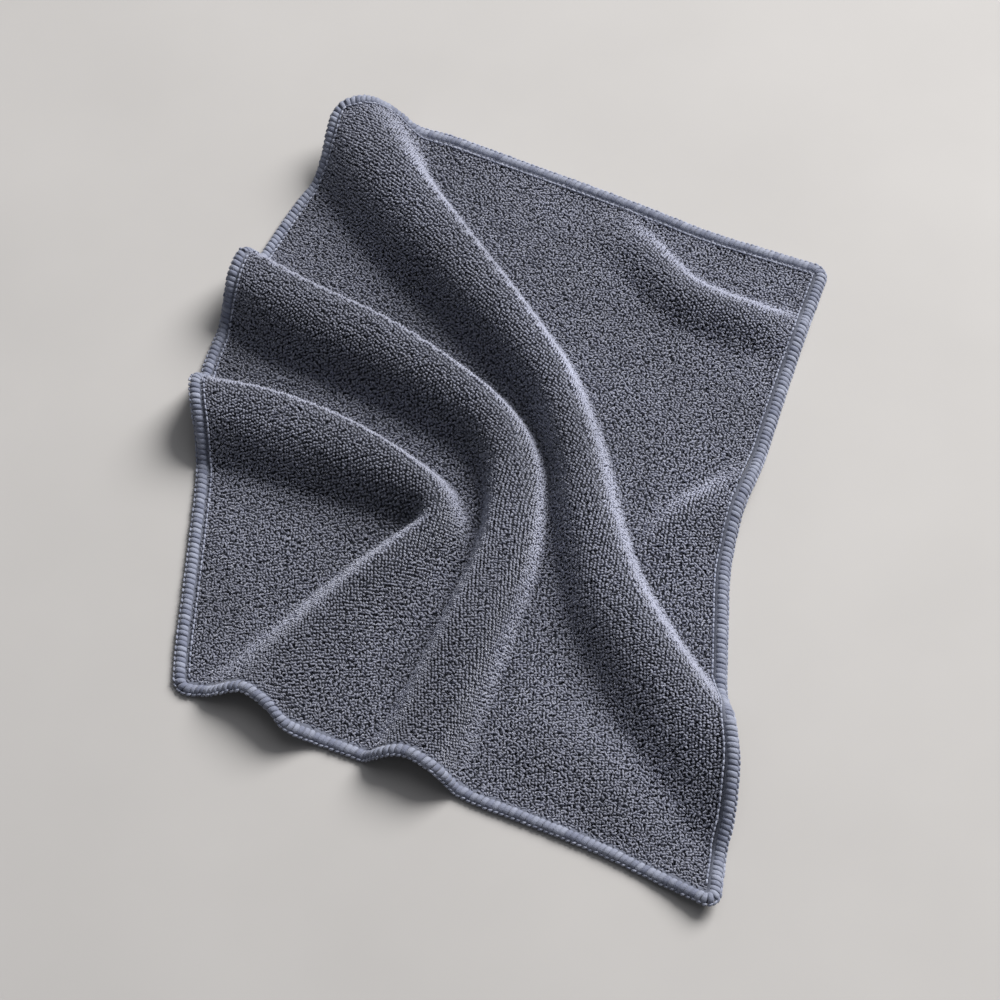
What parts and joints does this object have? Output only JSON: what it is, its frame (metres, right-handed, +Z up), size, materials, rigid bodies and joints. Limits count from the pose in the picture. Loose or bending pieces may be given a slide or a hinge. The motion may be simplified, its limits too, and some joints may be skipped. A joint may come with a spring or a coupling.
{
  "type": "microfibre cloth",
  "caption": "Plush rectangular cleaning cloth with an overlocked edge, lying loosely on a flat surface in soft raised folds.",
  "frame": {"origin": "centre of the bounding box of the lying cloth, on the surface that it rests on", "axes": "+Z up from the surface, +X to the right and +Y away from the viewer of the picture, so that the long side of the lying cloth runs along Y"},
  "size_m": [0.3332, 0.4608, 0.031],
  "materials": {
    "pile": "plush looped microfibre pile, slate grey, matt with a soft sheen",
    "yarn": "overlocked textured polyester yarn, blue grey, matt"
  },
  "bodies": {
    "root": {"cloth": "pile", "overlock_band": "yarn"}
  },
  "joints": []
}
